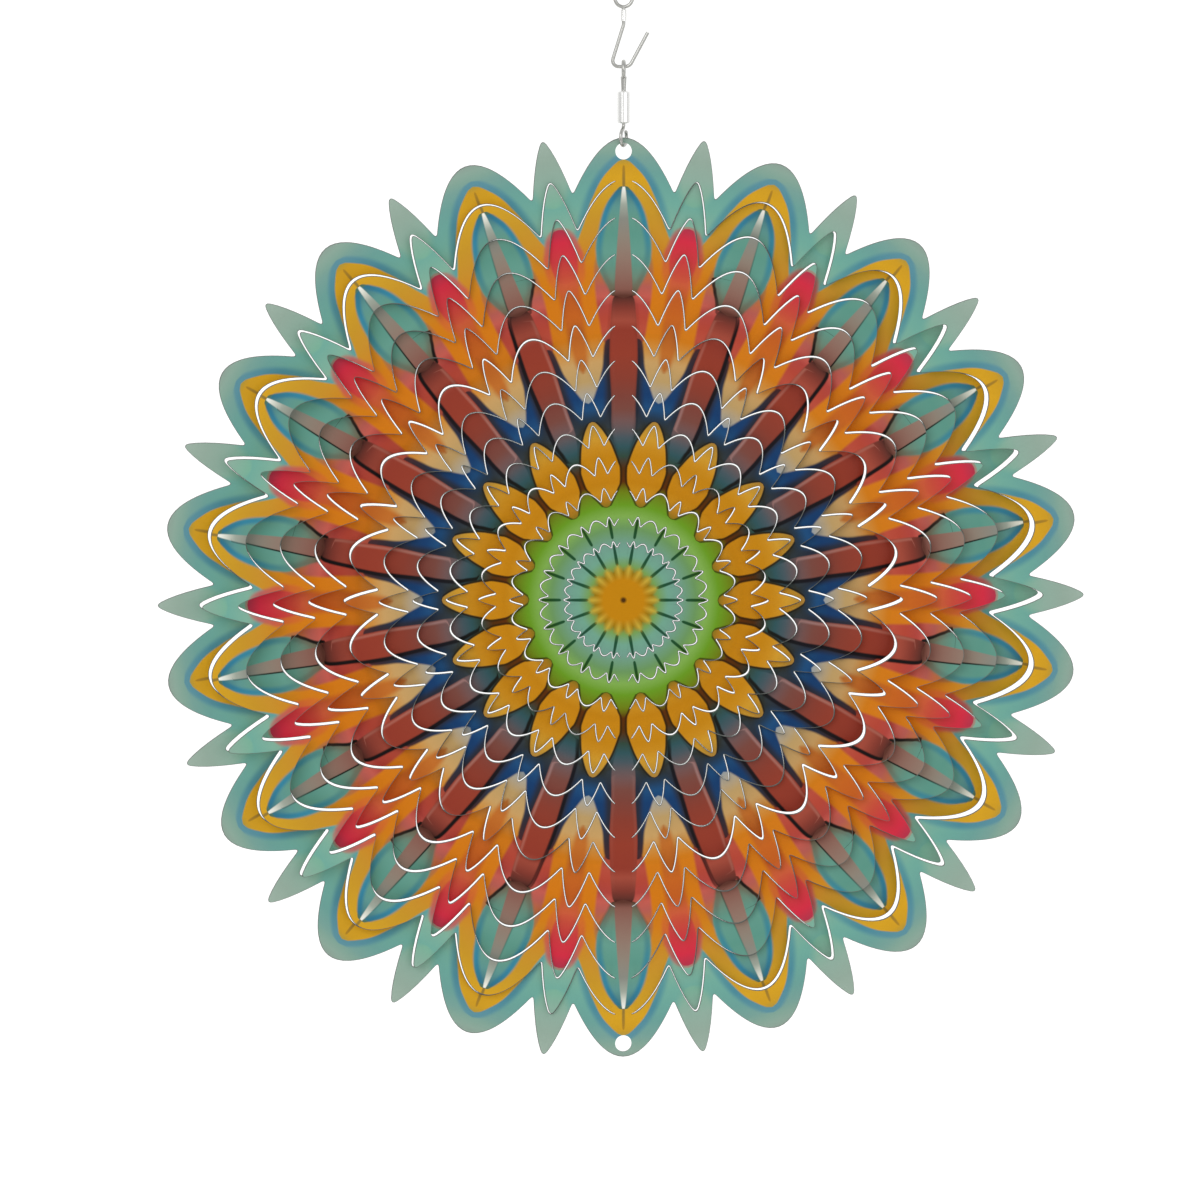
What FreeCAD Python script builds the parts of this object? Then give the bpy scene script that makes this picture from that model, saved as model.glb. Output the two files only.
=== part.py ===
import FreeCAD, Part
import math
import os

# Hanging wind spinner. One laser-cut, printed stainless sheet has nested scalloped rings, each
# twisted a little about the same vertical line. It hangs from a ball bearing swivel and an open
# wire hook. Millimetres, +Z up, X across the sheet, Y through it. The origin is the centre of
# the hanging eye at the top, and everything else hangs below it.

# The sheet
disc_radius = 150.0        # centre to the tip of a petal or a spike
sheet_thickness = 0.8
rim_band = 13.5            # width of the outermost ring
centre_radius = 19.3       # tip radius of the plain disc in the middle
ring_count = 12            # rings round the centre disc
band_exponent = 1.12       # above 1, the bands get wider towards the rim
kerf = 0.3                 # width of the cut between two rings
neck_width = 5.5           # widest strip that joins two rings, at the top and at the bottom
neck_share = 0.11          # and its largest width as a share of the cut's radius

# The scalloped outline, where lengths are shares of the tip radius
sector_count = 18          # petals round the sheet, with a spike between each two
valley_angle = 7.15        # degrees from a petal's axis to the valley beside it
valley_share = 0.8835      # radius of the valley's sharp corner, before it is rounded
spike_share = 1.0112       # radius of a spike's sharp tip, before it is rounded
spike_slope = 1.25         # how steeply a spike's side falls away from its tip
valley_round = 0.011       # how far up each side the valley's rounding reaches
tip_round = 0.012          # how far down each side a spike's rounding reaches
valley_round_cuts = 2.8    # the least of it, in cut widths, which rules on the small rings
tip_round_cuts = 2.0

# Holes in the outermost ring
hole_radius = 2.7
hole_inset = 4.4           # from the petal's tip to the hole's centre

# The turn that each ring is set to by hand, in degrees from square on, from the rim inwards
ring_turns = (6.0, 9.0, 6.3, 3.6, 0.9, 4.6, 2.4, 0.1, -2.4, 1.2, -1.6, -0.6, 0.0)

# The hanging hook, bent from one wire, with a sleeve crimped round its neck
wire_radius = 0.6
eye_radius = 2.8           # centre line of the hanging eye
sleeve_length = 4.2
sleeve_wall = 0.45
hook_drop = 14.7           # from the sleeve to the hook's lowest centre line
hook_left = 4.2            # corners of the hook's bottom, before they are rounded
hook_right = 1.9
lip_rise = 11.0            # height of the open side
lip_lean = 5.9             # how far the open side leans out
neck_bend = 2.4
heel_bend = 1.9
toe_bend = 2.4

# The ball bearing swivel
swivel_eye_radius = 2.4    # centre line of the eye that hangs in the hook
swivel_wire_radius = 0.7
stem_top_radius = 1.0
stem_length = 4.6          # the tapered stem between the eye and the cap
stem_foot_radius = 0.75
barrel_radius = 2.3
barrel_wall = 0.4
barrel_length = 10.4       # over the cap's flange and the end wall
end_wall = 0.8
flange_height = 0.8
plug_length = 1.6
rivet_spread = 0.45        # how far the peened end stands out round the stem's foot
rivet_height = 0.6
race_height = 0.6
ball_radius = 0.4
ball_count = 7
collar_height = 1.2

# The lower hook, which the sheet hangs on
loop_radius = 2.7          # centre line of the loop
throat_radius = 1.5        # centre line of the bend that leads into the loop
loop_turn = 20.0           # degrees that the loop's front is turned to the left
loop_end = 145.0           # where the open end stops, in degrees from the front over the top
shank_length = 0.6         # straight wire between the barrel and the throat

# Clearances
seat_gap = 0.3             # between pieces that hang in each other
running_gap = 0.05         # radial, where one piece turns in another
press_gap = 0.01           # radial, where a piece is pressed in
ball_gap = 0.02            # above and below the balls

# Sizes that follow from the ones above
least_valley_round = valley_round_cuts * kerf
least_tip_round = tip_round_cuts * kerf
barrel_inside = barrel_radius - barrel_wall
rivet_radius = stem_foot_radius + rivet_spread
collar_radius = barrel_inside - seat_gap
ball_circle = (wire_radius + barrel_inside) / 2

# Heights, from the hanging eye downwards
sleeve_top = -eye_radius - seat_gap
sleeve_bottom = sleeve_top - sleeve_length
hook_bottom = sleeve_bottom - hook_drop
swivel_eye_top = hook_bottom + wire_radius + seat_gap + swivel_wire_radius
swivel_eye_centre = swivel_eye_top - swivel_eye_radius
barrel_top = swivel_eye_centre - swivel_eye_radius - stem_length
barrel_bottom = barrel_top - barrel_length
race_bottom = barrel_bottom + end_wall
ball_height = race_bottom + race_height + ball_gap + ball_radius
collar_bottom = ball_height + ball_radius + ball_gap
throat_height = barrel_bottom - shank_length
loop_rise = math.sqrt(loop_radius ** 2 + 2 * throat_radius * loop_radius)
loop_centre = throat_height - loop_rise
seat_height = loop_centre - loop_radius
hole_height = seat_height + wire_radius + seat_gap - hole_radius
disc_centre = hole_height - (disc_radius - hole_inset)

UP = FreeCAD.Vector(0, 0, 1)
ORIGIN = FreeCAD.Vector(0, 0, 0)


def at(x, y, z):
    return FreeCAD.Vector(x, y, z)


def export(node, shape):
    shape.exportStep("parts/" + node + ".step")


# ---------------------------------------------------------------- the sheet

def cut_radii():
    """Tip radii of the outline and of each cut, from the rim to the centre disc."""
    rim_cut = disc_radius - rim_band
    steps = ring_count - 1
    radii = [disc_radius]
    for step in range(steps + 1):
        share = (1 - step / steps) ** band_exponent
        radii.append(centre_radius + (rim_cut - centre_radius) * share)
    return radii


def turned(vector, degrees):
    """A vector in the sheet, turned clockwise as seen from the front."""
    angle = math.radians(degrees)
    x = vector.x * math.cos(angle) + vector.z * math.sin(angle)
    z = vector.z * math.cos(angle) - vector.x * math.sin(angle)
    return at(x, 0, z)


def petal_drop():
    """A petal's tip is a parabola: this is its drop from the tip, per width squared."""
    angle = math.radians(valley_angle)
    return (1 - valley_share * math.cos(angle)) / (valley_share * math.sin(angle)) ** 2


def petal_stop(radius):
    """The place and direction where a petal's right side meets the valley's rounding."""
    corner = valley_share * math.sin(math.radians(valley_angle))
    speed = corner * math.hypot(1, 2 * petal_drop() * corner) * radius
    rounding = max(least_valley_round, valley_round * radius)
    x = corner * (1 - rounding / speed)
    place = at(x * radius, 0, (1 - petal_drop() * x ** 2) * radius)
    return place, at(1, 0, -2 * petal_drop() * x)


def spike_stops(radius):
    """The places and directions, on a spike's left side, where its two roundings end."""
    angle = math.radians(180 / sector_count - valley_angle)
    corner = valley_share * math.sin(angle)
    curve = (spike_share - valley_share * math.cos(angle) - spike_slope * corner) / corner ** 2
    foot_speed = math.hypot(1, spike_slope + 2 * curve * corner) * radius
    tip_speed = math.hypot(1, spike_slope) * radius
    foot = corner - max(least_valley_round, valley_round * radius) / foot_speed
    tip = max(least_tip_round, tip_round * radius) / tip_speed
    stops = []
    for x in (foot, tip):
        drop = spike_slope * x + curve * x ** 2
        place = at(-x * radius, 0, (spike_share - drop) * radius)
        stops.append((place, at(1, 0, spike_slope + 2 * curve * x)))
    return stops


def mirrored(stop):
    place, direction = stop
    return at(-place.x, 0, place.z), at(direction.x, 0, -direction.z)


def scallop_stops(radius):
    """Every place round the outline where one curve ends and the next begins, clockwise."""
    petal = petal_stop(radius)
    spike_foot, spike_tip = spike_stops(radius)
    sector = 360 / sector_count
    stops = []
    for index in range(sector_count):
        petal_turn = index * sector
        spike_turn = petal_turn + sector / 2
        for stop, turn in (
            (mirrored(petal), petal_turn),
            (petal, petal_turn),
            (spike_foot, spike_turn),
            (spike_tip, spike_turn),
            (mirrored(spike_tip), spike_turn),
            (mirrored(spike_foot), spike_turn),
        ):
            stops.append((turned(stop[0], turn), turned(stop[1], turn)))
    return stops


def moved_out(stop, offset):
    """A stop moved square to the outline, outwards where the offset is positive."""
    place, direction = stop
    length = math.hypot(direction.x, direction.z)
    outward = at(-direction.z / length, 0, direction.x / length)
    return place + outward * offset, direction


def crossing(first, second):
    """Where the straight lines through two stops cross."""
    gap = second[0] - first[0]
    across = first[1].x * second[1].z - first[1].z * second[1].x
    reach = (gap.x * second[1].z - gap.z * second[1].x) / across
    return first[0] + first[1] * reach


def scallop(radius, offset):
    """The closed outline: parabolas that run on smoothly into each other."""
    stops = [moved_out(stop, offset) for stop in scallop_stops(radius)]
    edges = []
    for index, stop in enumerate(stops):
        following = stops[(index + 1) % len(stops)]
        curve = Part.BezierCurve()
        curve.setPoles([stop[0], crossing(stop, following), following[0]])
        edges.append(curve.toShape())
    return Part.Wire(edges)


def neck_size(radius):
    return min(neck_width, neck_share * radius)


def neck_plane(radius):
    """Height above the centre of the flat joint across a neck: the inner petal, cut flat."""
    half_width = neck_size(radius) / 2
    return radius - kerf / 2 - petal_drop() * half_width ** 2 / radius


def slab(half_width, low, high):
    """A block of the sheet, centred on the vertical line."""
    corner = at(-half_width, -sheet_thickness / 2, low)
    return Part.makeBox(2 * half_width, sheet_thickness, high - low, corner)


def upside_down(shape):
    copy = shape.copy()
    copy.rotate(ORIGIN, at(0, 1, 0), 180)
    return copy


def pressed_flat(wires):
    """A plate of the sheet's thickness from its outline and the outline of its hole."""
    face = Part.makeFace(wires, "Part::FaceMakerBullseye")
    face.translate(at(0, -sheet_thickness / 2, 0))
    return face.extrude(at(0, sheet_thickness, 0))


def ring(outer_radius, inner_radius, is_rim):
    """One ring, with half of each neck: flat petals outside, and tabs inside."""
    wires = [scallop(outer_radius, 0 if is_rim else -kerf / 2)]
    if inner_radius:
        wires.append(scallop(inner_radius, kerf / 2))
    plate = pressed_flat(wires)
    if not is_rim:
        top = slab(neck_size(outer_radius), neck_plane(outer_radius), outer_radius)
        plate = plate.cut([top, upside_down(top)])
    if inner_radius:
        half_width = neck_size(inner_radius) / 2
        tab = slab(half_width, neck_plane(inner_radius), inner_radius + kerf)
        plate = plate.fuse([tab, upside_down(tab)])
    return plate


def punched(plate):
    """The outermost ring with its two holes."""
    for height in (disc_radius - hole_inset, hole_inset - disc_radius):
        start = at(0, -sheet_thickness, height)
        hole = Part.makeCylinder(hole_radius, 2 * sheet_thickness, start, at(0, 1, 0))
        plate = plate.cut(hole)
    return plate


def hung(plate, turn):
    """A plate brought down to its height and turned about the vertical line."""
    placed = plate.removeSplitter()
    placed.rotate(ORIGIN, UP, turn)
    placed.translate(at(0, 0, disc_centre))
    return placed


def make_sheet():
    radii = cut_radii()
    for index in range(ring_count):
        plate = ring(radii[index], radii[index + 1], index == 0)
        if index == 0:
            plate = punched(plate)
        export("ring_%02d" % (index + 1), hung(plate, ring_turns[index]))
    centre = ring(radii[ring_count], None, False)
    export("centre_disc", hung(centre, ring_turns[ring_count]))


# ------------------------------------------------------------ wire and swivel

def rod(radius, low, high):
    return Part.makeCylinder(radius, high - low, at(0, 0, low))


def swept(path, radius):
    """A round wire along a path that starts straight down."""
    start = path.Edges[0].firstVertex().Point
    section = Part.Wire(Part.makeCircle(radius, start, UP))
    return path.makePipeShell([section], True, True)


def rounded_path(points, bends):
    """Straight runs through the points, joined by tangent arcs of the given radii."""
    edges = []
    start = points[0]
    for index, bend in enumerate(bends):
        corner = points[index + 1]
        back = (points[index] - corner).normalize()
        ahead = (points[index + 2] - corner).normalize()
        half_angle = back.getAngle(ahead) / 2
        reach = bend / math.tan(half_angle)
        middle = (back + ahead).normalize()
        centre = corner + middle * (bend / math.sin(half_angle))
        arc_start = corner + back * reach
        arc_end = corner + ahead * reach
        edges.append(Part.LineSegment(start, arc_start).toShape())
        edges.append(Part.Arc(arc_start, centre - middle * bend, arc_end).toShape())
        start = arc_end
    edges.append(Part.LineSegment(start, points[-1]).toShape())
    return Part.Wire(edges)


def ring_of_wire(centre_line, radius, height, axis):
    return Part.makeTorus(centre_line, radius, at(0, 0, height), axis)


def make_hook():
    """The eye, the straight neck and the open hook, all one wire, and the crimped sleeve."""
    points = [
        at(0, 0, -eye_radius),
        at(0, 0, sleeve_bottom - neck_bend / 2),
        at(-hook_left, 0, hook_bottom),
        at(hook_right, 0, hook_bottom),
        at(hook_right + lip_lean, 0, hook_bottom + lip_rise),
    ]
    path = rounded_path(points, (neck_bend, heel_bend, toe_bend))
    eye = ring_of_wire(eye_radius, wire_radius, 0, at(0, 1, 0))
    export("hanging_hook", eye.fuse(swept(path, wire_radius)))
    outside = rod(wire_radius + press_gap + sleeve_wall, sleeve_bottom, sleeve_top - wire_radius)
    inside = rod(wire_radius + press_gap, sleeve_bottom, sleeve_top)
    export("hook_sleeve", outside.cut(inside))


def make_swivel_eye():
    """The eye that hangs in the hook, its tapered stem, and its shank riveted in the cap."""
    eye = ring_of_wire(swivel_eye_radius, swivel_wire_radius, swivel_eye_centre, at(1, 0, 0))
    stem_top = barrel_top + stem_length
    stem = Part.makeCone(stem_foot_radius, stem_top_radius, stem_length, at(0, 0, barrel_top))
    rivet_top = barrel_top - flange_height - plug_length
    shank = rod(swivel_wire_radius, rivet_top - rivet_height, stem_top)
    rivet = rod(rivet_radius, rivet_top - rivet_height, rivet_top)
    solid = eye.fuse([stem, shank, rivet])
    clear = rod(stem_top_radius, stem_top, swivel_eye_centre + swivel_eye_radius / 2)
    clear = clear.common(Part.makeSphere(swivel_eye_radius - swivel_wire_radius,
                                         at(0, 0, swivel_eye_centre)))
    export("swivel_eye", solid.cut(clear).removeSplitter())


def make_barrel():
    """The cap, the shell with its end wall, and the race that lies on the wall."""
    shell_top = barrel_top - flange_height
    plug_bottom = shell_top - plug_length
    flange = rod(barrel_radius, shell_top, barrel_top)
    flange = flange.makeChamfer(flange_height / 2, [flange.Edges[0]])
    plug = rod(barrel_inside - press_gap, plug_bottom, shell_top)
    bore = rod(swivel_wire_radius + press_gap, plug_bottom, barrel_top)
    export("barrel_cap", flange.fuse(plug).cut(bore).removeSplitter())

    outside = rod(barrel_radius, barrel_bottom, shell_top)
    low_edges = [edge for edge in outside.Edges if edge.BoundBox.ZMax < barrel_bottom + end_wall]
    outside = outside.makeChamfer(end_wall / 2, low_edges)
    inside = rod(barrel_inside, race_bottom, shell_top)
    shank_hole = rod(wire_radius + running_gap, barrel_bottom, race_bottom)
    export("barrel_shell", outside.cut([inside, shank_hole]))

    race = rod(barrel_inside - press_gap, race_bottom, race_bottom + race_height)
    race_hole = rod(wire_radius + running_gap, race_bottom, race_bottom + race_height)
    export("ball_race", race.cut(race_hole))


def make_balls():
    balls = []
    for index in range(ball_count):
        angle = 2 * math.pi * index / ball_count
        place = at(ball_circle * math.cos(angle), ball_circle * math.sin(angle), ball_height)
        balls.append(Part.makeSphere(ball_radius, place))
    export("bearing_balls", Part.makeCompound(balls))


def make_lower_hook():
    """The shank, the throat and the open loop, one wire in an upright plane."""
    def on_loop(degrees):
        angle = math.radians(degrees)
        return at(0, -loop_radius * math.cos(angle), loop_centre + loop_radius * math.sin(angle))

    throat = at(0, -throat_radius, throat_height)
    meeting = math.degrees(math.asin(loop_rise / (loop_radius + throat_radius)))
    half_angle = math.radians(meeting / 2)
    throat_middle = throat + at(0, math.cos(half_angle), -math.sin(half_angle)) * throat_radius
    top = at(0, 0, collar_bottom + collar_height)
    bend = at(0, 0, throat_height)
    middle = (meeting + loop_end - 360) / 2
    edges = [
        Part.LineSegment(top, bend).toShape(),
        Part.Arc(bend, throat_middle, on_loop(meeting)).toShape(),
        Part.Arc(on_loop(meeting), on_loop(middle), on_loop(loop_end)).toShape(),
    ]
    wire = swept(Part.Wire(edges), wire_radius)
    wire = wire.fuse(Part.makeSphere(wire_radius, on_loop(loop_end)))
    wire.rotate(ORIGIN, UP, -loop_turn)
    export("lower_hook", wire)

    collar = rod(collar_radius, collar_bottom, collar_bottom + collar_height)
    bore = rod(wire_radius + press_gap, collar_bottom, collar_bottom + collar_height)
    export("thrust_collar", collar.cut(bore))


os.makedirs("parts", exist_ok=True)
make_hook()
make_swivel_eye()
make_barrel()
make_balls()
make_lower_hook()
make_sheet()
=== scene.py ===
import math

import bpy
import numpy as np
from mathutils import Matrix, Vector


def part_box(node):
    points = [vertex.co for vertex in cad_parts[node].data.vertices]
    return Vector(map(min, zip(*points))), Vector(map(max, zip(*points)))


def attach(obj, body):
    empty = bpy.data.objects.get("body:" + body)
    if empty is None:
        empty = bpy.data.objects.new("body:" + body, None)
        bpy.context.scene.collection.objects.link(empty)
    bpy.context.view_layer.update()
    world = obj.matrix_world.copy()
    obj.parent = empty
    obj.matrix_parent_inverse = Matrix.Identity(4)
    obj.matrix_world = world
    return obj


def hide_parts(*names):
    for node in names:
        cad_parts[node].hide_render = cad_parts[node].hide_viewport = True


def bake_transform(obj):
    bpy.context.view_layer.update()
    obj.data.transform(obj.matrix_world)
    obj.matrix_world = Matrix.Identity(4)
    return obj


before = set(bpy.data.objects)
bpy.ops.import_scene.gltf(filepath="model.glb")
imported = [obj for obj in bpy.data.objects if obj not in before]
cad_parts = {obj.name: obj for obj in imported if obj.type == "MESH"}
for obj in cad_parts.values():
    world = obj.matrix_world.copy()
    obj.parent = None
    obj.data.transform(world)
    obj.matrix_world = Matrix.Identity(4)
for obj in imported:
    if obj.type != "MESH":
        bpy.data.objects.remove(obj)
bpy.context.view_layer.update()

# A hanging wind spinner: a printed stainless sheet, laser-cut into scalloped rings that are
# each turned a little about one upright line, under a ball bearing swivel and a wire hook.
# Metres, in the frame's own axes; MM turns the makers' sizes, in millimetres, into metres.

MM = 0.001

# ---------------------------------------------------------------- sizes of the sheet

RING_NAMES = sorted(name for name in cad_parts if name.startswith("ring_"))
SHEET_NAMES = RING_NAMES + ["centre_disc"]
RIM_LOW, RIM_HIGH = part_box(RING_NAMES[0])
DISC_RADIUS = (RIM_HIGH.z - RIM_LOW.z) / 2
DISC_CENTRE = (RIM_HIGH.z + RIM_LOW.z) / 2

THICKNESS = 0.8 * MM
RIM_BAND = 13.5 * MM
CENTRE_RADIUS = 19.3 * MM
BAND_EXPONENT = 1.12
KERF = 0.2 * MM                # width of a cut
NECK_REACH = 0.9 * MM          # how far down the inner petal a neck twists
EDGE_ROUND = 0.16 * MM         # the cut leaves its corners this soft
NECK_WIDTH = 5.5 * MM
NECK_SHARE = 0.11
HOLE_RADIUS = 2.7 * MM
HOLE_INSET = 4.4 * MM          # the hole's middle from the petal's tip
DRILL_DEPTH = 10 * MM
DRILL_STEPS = 48

SECTOR_COUNT = 18
SECTOR = 360.0 / SECTOR_COUNT
VALLEY_ANGLE = 7.15
VALLEY_SHARE = 0.8835
SPIKE_SHARE = 1.0112
SPIKE_SLOPE = 1.25
VALLEY_ROUND = 0.011
TIP_ROUND = 0.012
TIP_FALL = 0.02                # where no neck cuts a petal level, its tip's steps end this far down
LEAST_VALLEY_ROUND = 0.84 * MM
LEAST_TIP_ROUND = 0.6 * MM

PETAL_STEPS = (9, 8, 9)        # edges along a petal: its left side, its tip, its right side
ROUND_STEPS = 4
FLANK_STEPS = 5
EDGE_STEPS = 2


def mesh_points(name):
    """All the vertices of a CAD node as one array."""
    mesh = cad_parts[name].data
    points = np.empty(len(mesh.vertices) * 3, np.float32)
    mesh.vertices.foreach_get("co", points)
    return points.reshape(-1, 3).astype(float)


def ring_turn(name):
    """How far a flat ring is turned about the upright line: the slope of its plan, y over x."""
    points = mesh_points(name)
    return math.atan2((points[:, 0] * points[:, 1]).sum(), (points[:, 0] ** 2).sum())


def cut_radii():
    """Tip radii of the outline and of each cut; the bands widen by a power law outwards."""
    steps = len(RING_NAMES) - 1
    shares = (1 - np.arange(steps + 1) / steps) ** BAND_EXPONENT
    rim_cut = DISC_RADIUS - RIM_BAND
    return [DISC_RADIUS] + list(CENTRE_RADIUS + (rim_cut - CENTRE_RADIUS) * shares)


# ---------------------------------------------------------------- the scalloped outline

PETAL_DROP = (1 - VALLEY_SHARE * math.cos(math.radians(VALLEY_ANGLE))) / (
    VALLEY_SHARE * math.sin(math.radians(VALLEY_ANGLE))) ** 2


def neck_half_width(radius):
    return min(NECK_WIDTH, NECK_SHARE * radius) / 2


def neck_height(radius):
    """Height in the flat sheet where the petal inside a cut is as wide as the neck."""
    return radius - KERF / 2 - PETAL_DROP * neck_half_width(radius) ** 2 / radius


def petal_stop(radius):
    """Place and direction where a petal's side meets the valley's rounding, x across, z up."""
    corner = VALLEY_SHARE * math.sin(math.radians(VALLEY_ANGLE))
    speed = corner * math.hypot(1, 2 * PETAL_DROP * corner) * radius
    x = corner * (1 - max(LEAST_VALLEY_ROUND, VALLEY_ROUND * radius) / speed)
    place = np.array([x, 1 - PETAL_DROP * x ** 2]) * radius
    return place, np.array([1, -2 * PETAL_DROP * x])


def spike_stops(radius):
    """Places and directions, on a spike's left side, where its two roundings end."""
    angle = math.radians(SECTOR / 2 - VALLEY_ANGLE)
    corner = VALLEY_SHARE * math.sin(angle)
    curve = (SPIKE_SHARE - VALLEY_SHARE * math.cos(angle) - SPIKE_SLOPE * corner) / corner ** 2
    foot_speed = math.hypot(1, SPIKE_SLOPE + 2 * curve * corner) * radius
    tip_speed = math.hypot(1, SPIKE_SLOPE) * radius
    foot = corner - max(LEAST_VALLEY_ROUND, VALLEY_ROUND * radius) / foot_speed
    tip = max(LEAST_TIP_ROUND, TIP_ROUND * radius) / tip_speed
    stops = []
    for x in (foot, tip):
        place = np.array([-x, SPIKE_SHARE - SPIKE_SLOPE * x - curve * x ** 2]) * radius
        stops.append((place, np.array([1, SPIKE_SLOPE + 2 * curve * x])))
    return stops


def mirrored(stop):
    place, direction = stop
    return place * [-1, 1], direction * [1, -1]


def moved_out(stop, offset):
    """A stop moved square to its direction, outwards where the offset is positive."""
    place, direction = stop
    outward = np.array([-direction[1], direction[0]]) / np.hypot(*direction)
    return place + outward * offset, direction


def turned(points, degrees):
    """Points or directions in the sheet turned clockwise as seen from the front."""
    angle = math.radians(degrees)
    x, z = points[..., 0], points[..., 1]
    return np.stack([x * math.cos(angle) + z * math.sin(angle),
                     z * math.cos(angle) - x * math.sin(angle)], axis=-1)


def parabola(first, second, shares):
    """The parabola that leaves one stop and reaches the next along their directions."""
    gap = second[0] - first[0]
    across = first[1][0] * second[1][1] - first[1][1] * second[1][0]
    reach = (gap[0] * second[1][1] - gap[1] * second[1][0]) / across
    control = first[0] + first[1] * reach
    t = shares[:, None]
    return first[0] * (1 - t) ** 2 + control * 2 * t * (1 - t) + second[0] * t ** 2


def petal_shares(tip_share):
    """Steps along a petal, with one at each end of the flat that a neck leaves on its tip."""
    parts = [np.linspace(-1, -tip_share, PETAL_STEPS[0], endpoint=False),
             np.linspace(-tip_share, tip_share, PETAL_STEPS[1], endpoint=False),
             np.linspace(tip_share, 1, PETAL_STEPS[2], endpoint=False)]
    return (np.concatenate(parts) + 1) / 2


def scallop(radius, offset, flat_height=0.0):
    """The closed outline as one array of points, x across and z up, clockwise from the top.
    It is made of parabolas between stops. Where a flat height is given, the petals at the
    top and bottom are cut off level there."""
    petal = moved_out(petal_stop(radius), offset)
    foot, tip = [moved_out(stop, offset) for stop in spike_stops(radius)]
    rounding = np.arange(ROUND_STEPS) / ROUND_STEPS
    flank = np.arange(FLANK_STEPS) / FLANK_STEPS
    fall = radius + offset - flat_height if flat_height else radius * TIP_FALL
    half_flat = math.sqrt(fall * radius / PETAL_DROP)
    shares = petal_shares(half_flat / petal[0][0])
    next_petal = tuple(turned(part, SECTOR) for part in mirrored(petal))
    foot, tip, tip_after, foot_after = [
        tuple(turned(part, SECTOR / 2) for part in stop)
        for stop in (foot, tip, mirrored(tip), mirrored(foot))]
    hump = parabola(mirrored(petal), petal, shares)
    rest = np.concatenate([
        parabola(petal, foot, rounding),
        parabola(foot, tip, flank),
        parabola(tip, tip_after, rounding),
        parabola(tip_after, foot_after, flank),
        parabola(foot_after, next_petal, rounding)])
    flat_hump = hump.copy()
    if flat_height:
        flat_hump[:, 1] = np.minimum(hump[:, 1], flat_height)
    sectors = []
    for index in range(SECTOR_COUNT):
        necked = index in (0, SECTOR_COUNT // 2)
        sector = np.concatenate([flat_hump if necked else hump, rest])
        sectors.append(turned(sector, index * SECTOR))
    return np.concatenate(sectors)


# ---------------------------------------------------------------- meshes from grids

def make_piece(name, points, faces, materials, face_materials=None, flat=None):
    """One mesh object from arrays: points, quads or polygons, a material for each face, and
    where given, its place in the flat sheet as a UV map that runs from 0 to 1 over the disc."""
    mesh = bpy.data.meshes.new(name)
    mesh.from_pydata(points.tolist(), [], faces)
    for material in materials:
        mesh.materials.append(material)
    if face_materials is not None:
        mesh.polygons.foreach_set("material_index", np.asarray(face_materials, np.int32))
    if flat is not None:
        corners = np.empty(len(mesh.loops), np.int32)
        mesh.loops.foreach_get("vertex_index", corners)
        layer = mesh.uv_layers.new(name="flat_sheet")
        layer.uv.foreach_set("vector", (flat[corners] / (2 * DISC_RADIUS) + 0.5).ravel())
    mesh.validate()
    mesh.update()
    piece = bpy.data.objects.new(name, mesh)
    bpy.context.scene.collection.objects.link(piece)
    return piece


def grid_faces(rows, columns, close_rows, close_columns):
    """Quads over a grid of points that is stored row by row."""
    row = np.arange(rows if close_rows else rows - 1)[:, None]
    column = np.arange(columns if close_columns else columns - 1)[None, :]
    next_row, next_column = (row + 1) % rows, (column + 1) % columns
    quads = np.stack([row * columns + column, row * columns + next_column,
                      next_row * columns + next_column, next_row * columns + column], axis=-1)
    return quads.reshape(-1, 4)


def smooth(piece, angle=35.0):
    """Soft shading, with crisp edges where faces meet at more than the angle."""
    piece.data.shade_smooth()
    piece.data.set_sharp_from_angle(angle=math.radians(angle))


def edge_columns(radius, side, flat_height):
    """The rounded corners and the wall of one cut edge, from the front face to the back, as
    (radius, offset, depth, flat height). Side is +1 where the metal lies inside the cut."""
    half_cut = 0.0 if radius == DISC_RADIUS else KERF / 2
    columns = []
    corner = np.radians(np.linspace(0, 90, EDGE_STEPS + 1))
    for sign, angles in ((-1, corner), (1, corner[::-1])):
        inset = EDGE_ROUND * (1 - np.sin(angles))
        depth = THICKNESS / 2 - EDGE_ROUND * (1 - np.cos(angles))
        columns += [(radius, -side * (half_cut + gap), sign * y, flat_height)
                    for gap, y in zip(inset, depth)]
    return columns


def in_place(flat, depth, turn):
    """Points of the flat sheet at a depth through it, turned about the upright line."""
    x = flat[:, 0] * np.cos(turn) - depth * np.sin(turn)
    y = flat[:, 0] * np.sin(turn) + depth * np.cos(turn)
    return np.stack([x, y, flat[:, 1] + DISC_CENTRE], axis=-1)


def make_ring(index, radii, materials):
    """A ring is a grid: closed scalloped curves side by side round its cross-section, which
    runs over the front, the outer cut edge, the back and the inner cut edge."""
    name = SHEET_NAMES[index]
    outer, inner = radii[index], radii[index + 1]
    outer_flat = 0.0 if index == 0 else neck_height(outer) - NECK_REACH
    columns = edge_columns(outer, 1, outer_flat)
    columns += edge_columns(inner, -1, neck_height(inner) + KERF)[::-1]
    curves = [scallop(radius, offset, level) for radius, offset, _, level in columns]
    around = len(curves[0])
    depths = np.repeat([depth for _, _, depth, _ in columns], around)
    flat = np.concatenate(curves)
    points = in_place(flat, depths, ring_turn(name))
    faces = grid_faces(len(columns), around, True, True)
    per_edge = len(columns) // 2
    bare = np.arange(len(columns)) % per_edge != per_edge - 1
    return make_piece(name + "_print", points, faces[:, ::-1].tolist(), materials,
                      np.repeat(bare, around), flat)


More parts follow.
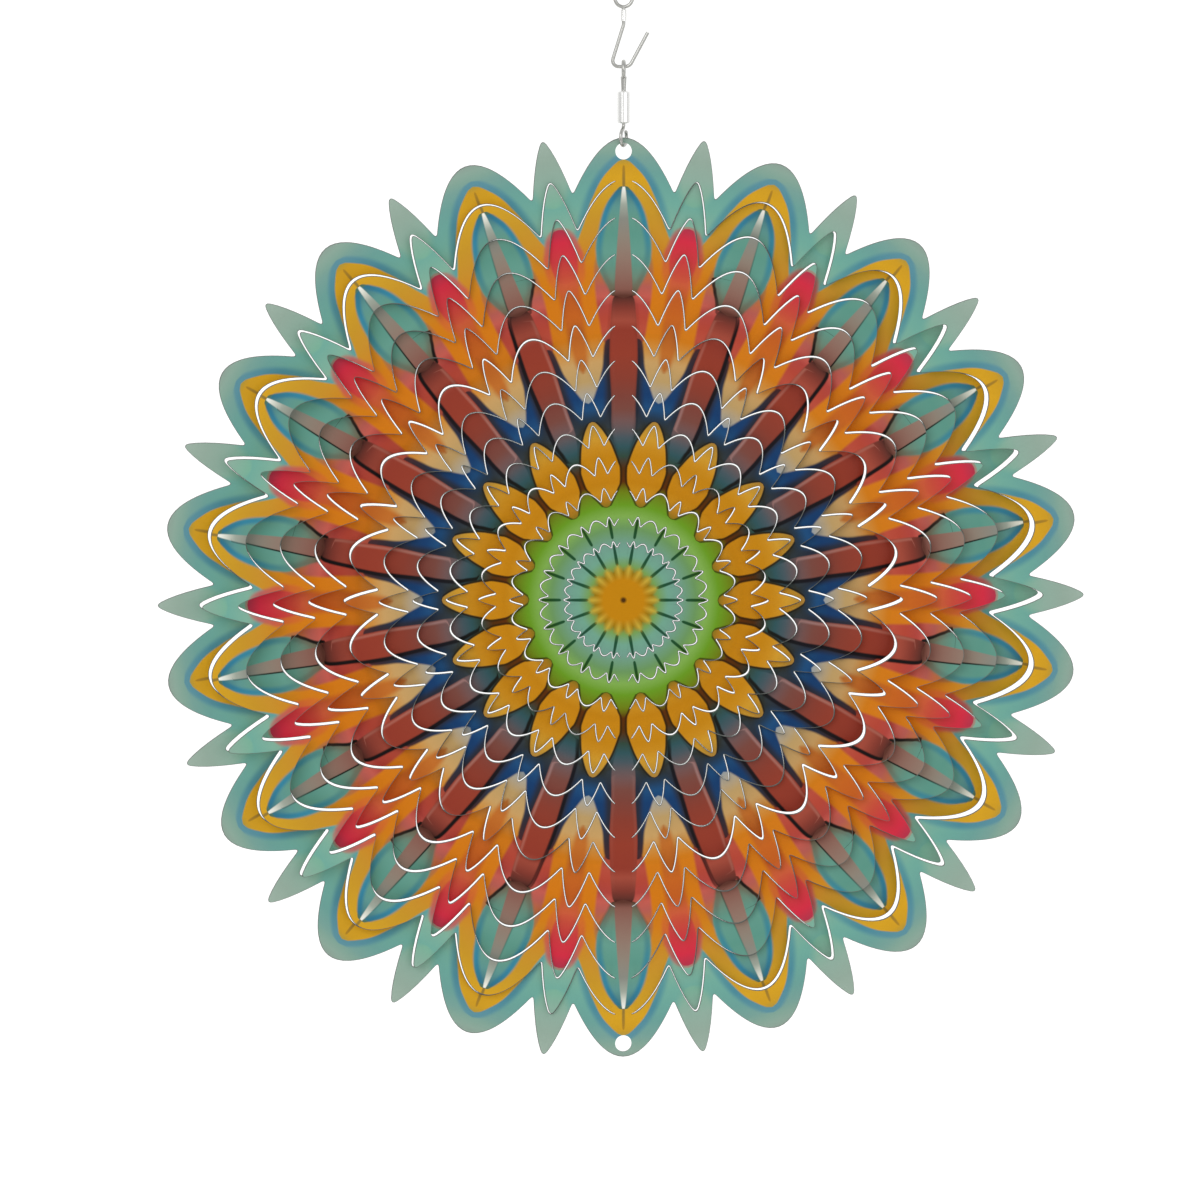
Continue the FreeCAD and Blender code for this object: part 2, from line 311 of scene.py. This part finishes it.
def make_centre(radii, materials):
    """The centre disc: the same cut edge, and two fans that close its faces."""
    name = SHEET_NAMES[-1]
    radius = radii[-1]
    columns = edge_columns(radius, 1, neck_height(radius) - NECK_REACH)
    curves = [scallop(r, offset, level) for r, offset, _, level in columns]
    around = len(curves[0])
    depths = np.repeat([depth for _, _, depth, _ in columns], around)
    flat = np.concatenate(curves + [np.zeros((2, 2))])
    depths = np.concatenate([depths, [-THICKNESS / 2, THICKNESS / 2]])
    points = in_place(flat, depths, ring_turn(name))
    walls = grid_faces(len(columns), around, False, True)[:, ::-1]
    start = np.arange(around)
    following = (start + 1) % around
    front_pole = len(columns) * around
    back_row = (len(columns) - 1) * around
    front = np.stack([start, following, np.full(around, front_pole)], axis=-1)[:, ::-1]
    back = np.stack([following + back_row, start + back_row,
                     np.full(around, front_pole + 1)], axis=-1)[:, ::-1]
    faces = walls.tolist() + front.tolist() + back.tolist()
    bare = np.concatenate([np.ones(len(walls)), np.zeros(2 * around)])
    return make_piece(name + "_print", points, faces, materials, bare, flat)


def cut_hole(piece, height, turn):
    """A round hole straight through a ring, with the bare metal of its edges on the wall, darkened
    as painted shade.
    """
    centre = in_place(np.array([[0.0, height]]), np.zeros(1), turn)[0]
    bpy.ops.mesh.primitive_cylinder_add(vertices=DRILL_STEPS, radius=HOLE_RADIUS, depth=DRILL_DEPTH,
                                        location=centre, rotation=(math.pi / 2, 0, turn))
    drill = bpy.context.object
    for material in piece.data.materials:
        drill.data.materials.append(material)
    for face in drill.data.polygons:
        face.material_index = 1
    cut = piece.modifiers.new("hole", "BOOLEAN")
    cut.operation, cut.solver, cut.object = "DIFFERENCE", "EXACT", drill
    evaluated = piece.evaluated_get(bpy.context.evaluated_depsgraph_get())
    mesh = bpy.data.meshes.new_from_object(evaluated)
    piece.modifiers.clear()
    piece.data = mesh
    bpy.data.objects.remove(drill)


def make_neck(index, radius, up, materials):
    """A strip that joins ring index to the next one inwards. Its cross-section runs up the
    strip and is turned from the inner ring's rest turn to the outer one's, with an easy
    start and end. Below the middle it is as wide as the petal it grows from."""
    middle = neck_height(radius)
    heights = middle + np.linspace(-NECK_REACH, KERF, NECK_ROWS)
    petal_width = np.sqrt(np.maximum(radius - KERF / 2 - heights, 0) * radius / PETAL_DROP)
    widths = np.where(heights < middle, petal_width, neck_half_width(radius))
    share = np.linspace(0, 1, NECK_ROWS)
    share = share ** 2 * (3 - 2 * share)
    inner_turn, outer_turn = ring_turn(SHEET_NAMES[index + 1]), ring_turn(SHEET_NAMES[index])
    turns = inner_turn + (outer_turn - inner_turn) * share
    side = np.array([1, 1, 1, 1, -1, -1, -1, -1])
    inset = EDGE_ROUND * np.array([1, 0, 0, 1, 1, 0, 0, 1])
    depth = THICKNESS / 2 * np.array([-1, -1, 1, 1, 1, 1, -1, -1])
    depth = depth - np.sign(depth) * EDGE_ROUND * np.array([0, 1, 1, 0, 0, 1, 1, 0])
    x = (widths[:, None] - inset) * side
    flat = np.stack([x, np.broadcast_to(heights[:, None] * up, x.shape)], axis=-1)
    points = in_place(flat.reshape(-1, 2), np.tile(depth, NECK_ROWS), np.repeat(turns, 8))
    faces = grid_faces(NECK_ROWS, 8, False, True)[:, ::-up].tolist()
    ends = [list(range(8)), list(range(8 * NECK_ROWS - 1, 8 * NECK_ROWS - 9, -1))]
    faces += [end[::-up] for end in ends]
    printed = np.isin(np.arange(8), (3, 7))
    bare = np.concatenate([np.tile(~printed, NECK_ROWS - 1), [True, True]])
    place = "top" if up > 0 else "bottom"
    piece = make_piece(f"neck_{place}_{index + 1:02d}", points, faces, materials, bare,
                       flat.reshape(-1, 2))
    return piece, [(0, 0, DISC_CENTRE + up * heights[end]) for end in (0, -1)]


# ---------------------------------------------------------------- materials

NOISE_LOW, NOISE_HIGH = 0.3, 0.7       # what a noise texture's values mostly lie between
METAL_DETAIL = 4.0


def linear(code):
    """An sRGB hex colour as the linear colour with alpha that sockets take."""
    parts = [int(code[i:i + 2], 16) / 255 for i in (1, 3, 5)]
    return tuple(c / 12.92 if c <= 0.04045 else ((c + 0.055) / 1.055) ** 2.4
                 for c in parts) + (1.0,)


def new_tree(owner):
    """Empties an owner's node tree and returns the one function that adds to it: a node of a
    kind with its settings, whose inputs take values or links in order. It gives back the
    node's first output."""
    owner.use_nodes = True
    tree = owner.node_tree
    tree.nodes.clear()

    def add(kind, *values, **settings):
        node = tree.nodes.new(kind)
        for name, value in settings.items():
            setattr(node, name, value)
        for socket, value in zip(node.inputs, values):
            if isinstance(value, bpy.types.NodeSocket):
                tree.links.new(value, socket)
            elif value is not None:
                socket.default_value = value
        return node.outputs[0] if node.outputs else None
    return add


def fill_curve(node, points):
    """A node's curve through the points, with soft bends."""
    line = node.mapping.curves[0]
    while len(line.points) < len(points):
        line.points.new(0.5, 0.5)
    for spot, (x, y) in zip(line.points, points):
        spot.location = (x, y)
        spot.handle_type = "AUTO_CLAMPED"
    node.mapping.use_clip = False
    node.mapping.extend = "HORIZONTAL"
    node.mapping.update()


def fill_ramp(node, stops):
    """A node's colours at places from 0 to 1."""
    ramp = node.color_ramp
    stops = sorted(stops)
    while len(ramp.elements) < len(stops):
        ramp.elements.new(1.0)
    for element, (place, code) in zip(ramp.elements, stops):
        element.position = place
        element.color = linear(code)


def metal(name, colour, roughness, grain, scale):
    """Bare metal whose roughness varies with a fine grain."""
    material = bpy.data.materials.new(name)
    add = new_tree(material)
    where = add("ShaderNodeTexCoord").node.outputs["Object"]
    noise = add("ShaderNodeTexNoise", where, None, scale, METAL_DETAIL)
    rough = add("ShaderNodeMapRange", noise, NOISE_LOW, NOISE_HIGH,
                roughness - grain, roughness + grain)
    shader = add("ShaderNodeBsdfPrincipled", linear(colour), 1.0, rough)
    add("ShaderNodeOutputMaterial", shader)
    return material


# The colours go on in layers that repeat round the sheet. Radii are in millimetres, and
# angles in degrees from the axis of a petal or of a spike. A fill covers its half-width on
# both sides of the axis; a line follows that edge and is as wide as it says, on the side
# that faces down in the hung sheet (+1), up (-1) or both (0).
GROUND = ((150, "#8C9F94"), (147.8, "#8AA698"), (145.5, "#80A395"), (143.5, "#769F96"),
          (139, "#6A9E96"), (134, "#6AA398"), (129, "#6FA899"), (123, "#7DAC98"),
          (118, "#829E86"), (112, "#C67F16"), (105, "#CC7A1A"), (99, "#CF7611"),
          (93, "#CC7416"), (86, "#C97614"), (82, "#C8893C"), (78, "#C39A60"),
          (72, "#B69763"), (67, "#A49E90"), (64, "#8494A0"), (60, "#232B33"),
          (56, "#2C2C24"), (52, "#31484E"), (47.5, "#2B463F"), (43, "#4E2B06"),
          # at 27.3 mm the paler green is partly the print's green, partly painted highlight from
          # the bright line of the cut beside it
          (38.5, "#592B01"), (35.5, "#6A780F"), (31, "#65941F"), (27.3, "#7DA84E"),
          (23.5, "#68925A"), (18, "#6E9A8A"), (14.5, "#6EA18A"), (11.2, "#749A50"))
LAYERS = (
    dict(axis="spike", soft=2.0, name="grey tip of a spike",
         edge=((126, -2), (130, 1.2), (136, 2.6), (144, 3.4), (150, 3.8)),
         colours=((150, "#9AAEA1"), (144, "#91A89A"), (138, "#8DAB9C"), (130, "#79AD96"))),
    dict(axis="petal", soft=1.3, name="blue round the arch",
         edge=((145.6, -1), (144.6, 0.7), (142, 2.2), (138, 3.7), (134, 4.8), (130, 5.7),
               (126, 6.5), (122, 7.2), (119, 7.7), (117, -1)),
         colours=((144, "#5C8F9C"), (134, "#4A8796"), (122, "#5E9A98"))),
    dict(axis="petal", soft=0.4, name="amber arch",
         edge=((143.6, -1), (142.9, 0.4), (141.4, 1.2), (140, 1.8), (138, 2.6), (135, 3.5),
               (132, 4.2), (129, 4.9), (126, 5.5), (123, 6.1), (120, 6.8), (117, 7.6),
               (114, 8.8), (111, 11.5), (100, 11.9), (88, 11.9), (86, -1)),
         colours=((143, "#B0923A"), (141, "#CB9922"), (137, "#D39F20"), (132, "#CA9A25"),
                  (125, "#C39126"), (119, "#C48C28"), (114, "#C88520"), (108, "#CC7A13"),
                  (99, "#CE7610"), (90, "#CC7614"))),
    dict(axis="spike", soft=0.9, name="rose beside the crimson",
         edge=((124.2, -1), (122.6, 0.9), (120, 2.2), (116, 2.9), (112, 3.4), (107, 3.3),
               (103, 2.2), (100, -1)),
         colours=((123, "#9A8C7C"), (119, "#B0625F"), (114, "#C45C44"), (110, "#C8622E"),
                  (104, "#CE6E22"))),
    dict(axis="spike", soft=1.1, name="flame's core",
         edge=((109, -1), (105, 1.9), (97, 2.0), (88, 1.9), (78, 1.4), (71, -1)),
         colours=((108, "#C54C36"), (104, "#C75A38"), (99, "#BB5A1E"), (93, "#C0611E"),
                  (87, "#B25E1F"), (81, "#BC6B28"), (75, "#AA652A"), (71, "#A8703C"))),
    dict(axis="spike", soft=0.5, name="crimson tip",
         edge=((122.9, -1), (122, 0.7), (120, 1.3), (117, 1.9), (112, 2.3), (108, 2.1),
               (105, 1.2), (102.5, -1)),
         colours=((122, "#AE3349"), (118, "#CF2C42"), (112, "#C5383C"), (107, "#C24A38"),
                  (103, "#C85C38"))),
    dict(axis="petal", soft=0.6, name="rose below the leaf",
         edge=((114.6, -1), (113.4, 3.4), (110, 4.9), (105, 5.2), (100, 5.2), (95, 5.1),
               (90.5, 4.9), (86, 4.6), (83.6, 3.9), (82, -1)),
         colours=((113, "#A57A36"), (109, "#AB6F3E"), (105, "#B5653F"), (102, "#B05A50"),
                  (99, "#BF5A4E"), (96, "#AA423A"), (92, "#AF4434"), (88, "#B54C3A"),
                  (85, "#9A4534"), (82.5, "#6E3528"))),
    dict(axis="petal", soft=0.5, name="night blue",
         edge=((86.6, -1), (85.4, 3.0), (83.4, 4.3), (80, 4.7), (77, 5.0), (74, 5.7),
               (71, 6.6), (68, 7.7), (65.5, 8.9), (64, 11), (61, 11.5), (57.5, 11.5),
               (55.5, -1)),
         colours=((84, "#40262A"), (81, "#3A2A30"), (78, "#29303F"), (75, "#1F3452"),
                  (71, "#163A64"), (67, "#143A68"), (63, "#1D4A76"), (60, "#22364A"),
                  (57, "#2A2C26"))),
    dict(axis="petal", soft=1.3, name="dusk beside the tube",
         edge=((84, -2), (82, 3.6), (78, 4.4), (70, 4.8), (62, 5.6), (57, 6.0), (53, -2)),
         colours=((82, "#33242A"), (74, "#2A2A34"), (62, "#232A38"), (56, "#30383C"))),
    dict(axis="petal", soft=0.35, name="leaf",
         edge=((135.4, -1), (134.3, 0.5), (132, 1.4), (129, 2.4), (126, 3.0), (123, 3.5),
               (120, 3.9), (117, 4.3), (114, 4.5), (111, 4.5), (108, 4.2), (105, 3.6),
               (102, 2.8), (99, 2.1), (97, -1)),
         colours=((134, "#4C6B55"), (131.5, "#477A80"), (128, "#5A918C"), (124, "#619585"),
                  (119, "#5A9384"), (113, "#62998A"), (109, "#5E9080"), (105, "#688472"),
                  (101.5, "#6B6653"), (99, "#57392B"))),
    dict(axis="petal", soft=0.9, line=1.9, side=0, name="leaf's blue edge",
         edge=((134, -2), (133, 0.6), (131, 1.3), (128, 2.2), (125, 2.8), (121, 3.3),
               (117, 3.8), (113, 4.0), (109, 3.8), (105, 3.2), (102, 2.4), (99, 1.6),
               (96, -2)),
         colours=((133, "#2F6E86"), (126, "#34809A"), (117, "#3E8492"), (109, "#55867A"),
                  (105, "#667262"), (101.5, "#6B6653"), (99, "#57392B"))),
    dict(axis="petal", soft=0.35, line=1.2, side=-1, name="shade under the leaf",
         edge=((110, -2), (108.5, 4.3), (105, 3.7), (101, 2.6), (97.5, 1.9), (96, -2)),
         colours=((108, "#3A2A20"), (102, "#17120F"), (97, "#17120F"))),
    dict(axis="petal", soft=0.3, name="tube",
         edge=((100, -1), (99.4, 1.3), (97.5, 2.1), (94, 2.4), (90, 2.7), (84, 3.05),
               (78, 3.35), (72, 3.4), (67, 3.4), (62, 3.6), (57, 3.9), (53, 3.5), (50, 2.6),
               (47, 1.5), (44.8, -1)),
         # at 91 mm the lighter red is partly the tube's print, partly painted highlight
         colours=((99.5, "#2A1712"), (97.8, "#5E2E26"), (95, "#7F372C"), (91, "#9E4838"),
                  (88, "#8E3728"), (80, "#913A29"), (72, "#863B2D"), (66, "#7A4036"),
                  (62, "#76463D"), (58.5, "#6F5250"), (55.5, "#5E5557"), (53, "#45545B"),
                  (50, "#2F5156"), (46, "#31422E"))),
    dict(axis="petal", soft=0.5, line=0.8, side=-1, name="light along the tube",
         edge=((97, -1.5), (95.5, 1.9), (90, 2.2), (84, 2.5), (78, 2.8), (72, 2.9), (66, 2.9),
               (62, 3.0), (58, 3.2), (56, -1.5)),
         colours=((96, "#9C5A4C"), (84, "#A65E50"), (72, "#A0685C"), (62, "#94706C"))),
    dict(axis="petal", soft=0.35, line=1.3, side=1, name="shade along the tube",
         edge=((100.2, -1.5), (99, 1.8), (97, 2.3), (90, 2.8), (84, 3.2), (78, 3.5), (72, 3.6),
               (66, 3.6), (60, 3.9), (55, 3.8), (51, 2.9), (48, 1.9), (46, -1.5)),
         colours=((99, "#120C0B"), (84, "#171013"), (60, "#15131A"), (48, "#14170F"))),
    dict(axis="petal", soft=0.25, name="stripe",
         edge=((135.4, -1), (134.4, 0.12), (130, 0.42), (125, 0.65), (118, 0.95), (112, 1.2),
               (106, 1.45), (101, 1.6), (98.8, 1.6), (98, -1)),
         colours=((134, "#F2F2EA"), (131.5, "#D2D4C8"), (128.5, "#9CA498"), (124, "#86877E"),
                  (118, "#8C8174"), (112, "#8E7669"), (106, "#8A675B"), (101, "#84564B"),
                  (99, "#5A3228"))),
    dict(axis="petal", soft=0.2, line=0.5, side=1, name="shade beside the stripe",
         edge=((131, -1.5), (129.5, 0.5), (125, 0.7), (118, 1.0), (112, 1.25), (106, 1.5),
               (101, 1.65), (99, -1.5)),
         colours=((129, "#3C4A46"), (118, "#1D1D1A"), (100, "#130E0C"))),
    dict(axis="petal", soft=0.25, name="line up the arch",
         edge=((142, -1), (141, 0.12), (136, 0.2), (134, 0.16), (133.4, -1)),
         colours=((141, "#A97E24"), (134, "#8C7436"))),
    dict(axis="spike", soft=0.35, name="orange petal",
         edge=((59.6, -1), (58.7, 0.8), (57, 2.2), (54, 4.0), (51, 5.5), (48, 6.7), (45, 7.8),
               (42, 8.6), (39, 8.5), (37, 7.5), (35.2, 6.2), (33, 4.1), (31, 2.0),
               (29.2, -1)),
         colours=((59, "#A37A36"), (56, "#B98B2F"), (53, "#C8932A"), (50, "#C2861A"),
                  (47, "#BD7F0E"), (43.5, "#C0810E"), (41, "#C0800E"), (38.5, "#BB7C0B"),
                  (35.5, "#C28619"), (32.5, "#A4741B"), (30, "#6C6814"))),
    dict(axis="spike", soft=0.3, line=0.7, side=0, name="orange petal's outline",
         edge=((60, -2), (59, 0.8), (57.2, 2.4), (54, 4.3), (51, 5.8), (48, 7.0), (45, 8.1),
               (42, 8.9), (39, 8.8), (37, 7.8), (35.2, 6.5), (33, 4.4), (31, 2.2),
               (29.2, -2)),
         colours=((59, "#1E1E1A"), (48, "#2A2209"), (38, "#3A1E02"), (30, "#3F4A0A"))),
    dict(axis="spike", soft=0.2, name="dark dash",
         edge=((27.4, -1), (26.6, 0.8), (21.5, 1.3), (20.2, 0.9), (19.4, -1)),
         colours=((25, "#1C440C"), (21.5, "#1C4A2A"))),
    dict(axis="spike", soft=0.2, name="inner dark dash",
         edge=((18.9, -1), (18.2, 0.9), (14.5, 2.0), (12, 2.4), (10.8, -1)),
         colours=((17, "#204A38"), (14, "#1C4C32"), (11.5, "#3C5A28"))),
)
PRINT_RADIUS = 150.0           # millimetres
# A curve node holds values from 0 to 1, so half-widths are stored as shares of this range
EDGE_LOW, EDGE_SPAN = -2.0, 14.0
# Past a layer's ends its half-width is negative, and there it draws back by up to this much
END_HALF_WIDTH, END_DRAWN_BACK = -0.8, -6.0

# The ochre middle, in millimetres and degrees
MIDDLE_EDGE = (9.8, 11.6)
RAY_PER_DEGREE = 0.12
BRUSH_SCALE, BRUSH_DETAIL, BRUSH_REACH = 300.0, 3.0, 1.2
RAY_TINT_PER_DEGREE = 0.1
PALE_RIM = (6.5, 9.5)
DOT_EDGE = (0.5, 1.3)

GRAIN_SCALE, GRAIN_DETAIL = 900.0, 2.0
PRINT_ROUGHNESS = (0.34, 0.42)
PRINT_SPECULAR = 0.08


def printed_sheet():
    """Satin inks on stainless: smooth shapes in layers, laid out over the flat sheet."""
    material = bpy.data.materials.new("printed_stainless_satin")
    add = new_tree(material)
    flat = add("ShaderNodeUVMap", uv_map="flat_sheet")
    centred = add("ShaderNodeMapping", flat, (-PRINT_RADIUS,) * 3, None,
                  (2 * PRINT_RADIUS,) * 3, vector_type="POINT")
    parts = add("ShaderNodeSeparateXYZ", centred).node.outputs
    x, z = parts[0], parts[1]
    flat_radius = add("ShaderNodeCombineXYZ", x, z, 0.0)
    radius = add("ShaderNodeVectorMath", flat_radius, operation="LENGTH").node.outputs[1]
    share = add("ShaderNodeMath", radius, PRINT_RADIUS, operation="DIVIDE")
    turn = add("ShaderNodeMath", x, z, operation="ARCTAN2")
    sectors = add("ShaderNodeMath", turn, SECTOR_COUNT / (2 * math.pi), 0.5,
                  operation="MULTIPLY_ADD")
    folded = add("ShaderNodeMath", sectors, operation="FRACT")
    signed = add("ShaderNodeMath", folded, SECTOR, -SECTOR / 2, operation="MULTIPLY_ADD")
    from_petal = add("ShaderNodeMath", signed, operation="ABSOLUTE")
    from_spike = add("ShaderNodeMath", SECTOR / 2, from_petal, operation="SUBTRACT")
    lean = add("ShaderNodeMath", x, radius, operation="DIVIDE")
    downward = add("ShaderNodeMath", signed, lean, operation="MULTIPLY")
    arc = add("ShaderNodeMath", radius, math.pi / 180, operation="MULTIPLY")

    colour = add("ShaderNodeValToRGB", share)
    fill_ramp(colour.node, [(r / PRINT_RADIUS, code) for r, code in GROUND])
    for layer in LAYERS:
        angle = from_petal if layer["axis"] == "petal" else from_spike
        half = add("ShaderNodeFloatCurve", 1.0, share)
        edge = sorted(layer["edge"])
        edge = [(0, edge[0][1])] + [spot for spot in edge if spot[0] < PRINT_RADIUS]
        edge += [(PRINT_RADIUS, max(layer["edge"])[1])]
        fill_curve(half.node, [(r / PRINT_RADIUS, (width - EDGE_LOW) / EDGE_SPAN)
                               for r, width in edge])
        half = add("ShaderNodeMath", half, EDGE_SPAN, EDGE_LOW, operation="MULTIPLY_ADD")
        inside = add("ShaderNodeMath", half, angle, operation="SUBTRACT")
        inside = add("ShaderNodeMath", inside, arc, operation="MULTIPLY")
        if "line" in layer:
            away = add("ShaderNodeMath", inside, operation="ABSOLUTE")
            inside = add("ShaderNodeMath", layer["line"] / 2, away, operation="SUBTRACT")
        ends = add("ShaderNodeMapRange", half, END_HALF_WIDTH, 0.0, END_DRAWN_BACK, 0.0)
        inside = add("ShaderNodeMath", inside, ends, operation="ADD")
        soft = layer["soft"]
        cover = add("ShaderNodeMapRange", inside, -soft, soft, 0.0, 1.0,
                    interpolation_type="SMOOTHSTEP")
        if layer.get("side"):
            facing = add("ShaderNodeMapRange", downward, 0.0, layer["side"], 0.0, 1.0)
            cover = add("ShaderNodeMath", cover, facing, operation="MULTIPLY")
        paint = add("ShaderNodeValToRGB", share, label=layer["name"])
        fill_ramp(paint.node, [(r / PRINT_RADIUS, code) for r, code in layer["colours"]])
        colour = add("ShaderNodeMixRGB", cover, colour, paint)

    # the ochre middle, with a ray towards each spike, a paler rim and a small dark centre
    ray = add("ShaderNodeMath", from_petal, -RAY_PER_DEGREE, radius, operation="MULTIPLY_ADD")
    brush = add("ShaderNodeTexNoise", flat, None, BRUSH_SCALE, BRUSH_DETAIL)
    ray = add("ShaderNodeMath", brush, BRUSH_REACH, ray, operation="MULTIPLY_ADD")
    middle = add("ShaderNodeMapRange", ray, *MIDDLE_EDGE, 1.0, 0.0)
    tint = add("ShaderNodeMath", from_petal, RAY_TINT_PER_DEGREE, operation="MULTIPLY")
    rim = add("ShaderNodeMixRGB", tint, linear("#8A6C06"), linear("#C0A238"))
    inner = add("ShaderNodeMapRange", radius, *PALE_RIM, 0.0, 1.0)
    rim = add("ShaderNodeMixRGB", inner, linear("#BE8008"), rim)
    colour = add("ShaderNodeMixRGB", middle, colour, rim)
    dot = add("ShaderNodeMapRange", radius, *DOT_EDGE, 1.0, 0.0)
    colour = add("ShaderNodeMixRGB", dot, colour, linear("#4A2C06"))

    grain = add("ShaderNodeTexNoise", flat, None, GRAIN_SCALE, GRAIN_DETAIL)
    rough = add("ShaderNodeMapRange", grain, NOISE_LOW, NOISE_HIGH, *PRINT_ROUGHNESS)
    shader = add("ShaderNodeBsdfPrincipled", colour, 0.0, rough)
    shader.node.inputs["Specular IOR Level"].default_value = PRINT_SPECULAR
    add("ShaderNodeOutputMaterial", shader)
    return material


# ---------------------------------------------------------------- the sheet

NECK_ROWS = 9
PRINT = printed_sheet()
# Laser-cut edges, left bare: dull grey steel with a fine grain, darkened as painted shade so the
# cut walls show as dark shaded lines
CUT_EDGE_WITH_SHADE = metal("bare_cut_edge_darkened_as_shade", "#6E726E", 0.5, 0.04, 3000.0)
SHEET_MATERIALS = (PRINT, CUT_EDGE_WITH_SHADE)
RADII = cut_radii()
BODY_OF = {name: name + "_body" for name in RING_NAMES}
BODY_OF["centre_disc"] = "centre_body"

for index, name in enumerate(SHEET_NAMES):
    if name == "centre_disc":
        piece = make_centre(RADII, SHEET_MATERIALS)
    else:
        piece = make_ring(index, RADII, SHEET_MATERIALS)
    if index == 0:
        for height in (DISC_RADIUS - HOLE_INSET, HOLE_INSET - DISC_RADIUS):
            cut_hole(piece, height, ring_turn(name))
    smooth(piece)
    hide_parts(name)
    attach(piece, BODY_OF[name])

for index in range(len(RING_NAMES)):
    for up in (1, -1):
        piece, (start, end) = make_neck(index, RADII[index + 1], up, SHEET_MATERIALS)
        smooth(piece)
        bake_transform(piece)

# ---------------------------------------------------------------- the hook and the swivel

# Drawn stainless wire, with fine lines from the die
WIRE = metal("drawn_stainless_wire", "#B9B9B5", 0.3, 0.02, 2500.0)
# Turned steel of the barrel, the cap and the crimped sleeve, pale with a satin polish
POLISHED = metal("polished_turned_steel", "#F4F4F2", 0.28, 0.02, 900.0)
# Ground bearing steel inside the barrel
BEARING = metal("ground_bearing_steel", "#D8D8DA", 0.1, 0.02, 1500.0)
for material, names in ((WIRE, ("hanging_hook", "swivel_eye", "lower_hook")),
                        (POLISHED, ("hook_sleeve", "barrel_cap", "barrel_shell")),
                        (BEARING, ("ball_race", "bearing_balls", "thrust_collar"))):
    for name in names:
        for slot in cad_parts[name].material_slots:
            slot.material = material

# ---------------------------------------------------------------- stage, light and camera

FLOOR_RADIUS, FLOOR_HEIGHT, FLOOR_STEPS = 0.95, -0.62, 96
WORLD_DIM, WORLD_BRIGHT = 0.6, 1.15    # towards the camera's side, and behind the object
WORLD_FADE = 0.6                       # how far to each side the change between them runs


def make_floor():
    """A round white floor below the hanging sheet."""
    bpy.ops.mesh.primitive_circle_add(vertices=FLOOR_STEPS, radius=FLOOR_RADIUS,
                                      fill_type="NGON", location=(0, 0, FLOOR_HEIGHT))
    floor = bpy.context.object
    floor.name = "studio_floor"
    # Matt white seamless paper
    paper = bpy.data.materials.new("matt_white_paper")
    add = new_tree(paper)
    shader = add("ShaderNodeBsdfPrincipled", linear("#F4F4F2"), 0.0, 0.8)
    add("ShaderNodeOutputMaterial", shader)
    floor.data.materials.append(paper)


def make_world():
    """A white room: brightest behind the object, dimmer on the camera's side."""
    world = bpy.data.worlds.new("white_studio")
    bpy.context.scene.world = world
    add = new_tree(world)
    way = add("ShaderNodeTexCoord")
    depth = add("ShaderNodeSeparateXYZ", way).node.outputs[1]
    light = add("ShaderNodeMapRange", depth, -WORLD_FADE, WORLD_FADE, WORLD_DIM, WORLD_BRIGHT)
    glow = add("ShaderNodeBackground", linear("#FFFFFF"), light)
    add("ShaderNodeOutputWorld", glow)


def area_light(name, place, aim, size, power):
    """A round white lamp at a place, turned to its aim."""
    light = bpy.data.lights.new(name, "AREA")
    light.shape, light.size, light.energy = "DISK", size, power
    lamp = bpy.data.objects.new(name, light)
    lamp.location = place
    way = np.array(aim) - np.array(place)
    lamp.rotation_euler = Vector(way).to_track_quat("-Z", "Y").to_euler()
    bpy.context.scene.collection.objects.link(lamp)


def make_camera(distance, elevation, aim, lens):
    """The camera stands in front of its aim, raised by the elevation in degrees."""
    camera = bpy.data.objects.new("camera", bpy.data.cameras.new("camera"))
    camera.data.lens, camera.data.sensor_width = lens, 36.0
    tilt = math.radians(elevation)
    back = Vector((0, -math.cos(tilt), math.sin(tilt)))
    camera.location = Vector(aim) + back * distance
    camera.rotation_euler = (-back).to_track_quat("-Z", "Y").to_euler()
    bpy.context.scene.collection.objects.link(camera)
    bpy.context.scene.camera = camera


make_floor()
make_world()
area_light("key", place=(-0.8, -1.9, 0.7), aim=(0, 0, DISC_CENTRE), size=1.6, power=14.2)
area_light("fill", place=(1.1, -1.8, 0.0), aim=(0, 0, DISC_CENTRE), size=1.4, power=5.9)
make_camera(distance=2.6, elevation=6.5, aim=(-0.0076, 0.0, DISC_CENTRE), lens=240.5)
bpy.context.scene.view_settings.view_transform = "Standard"
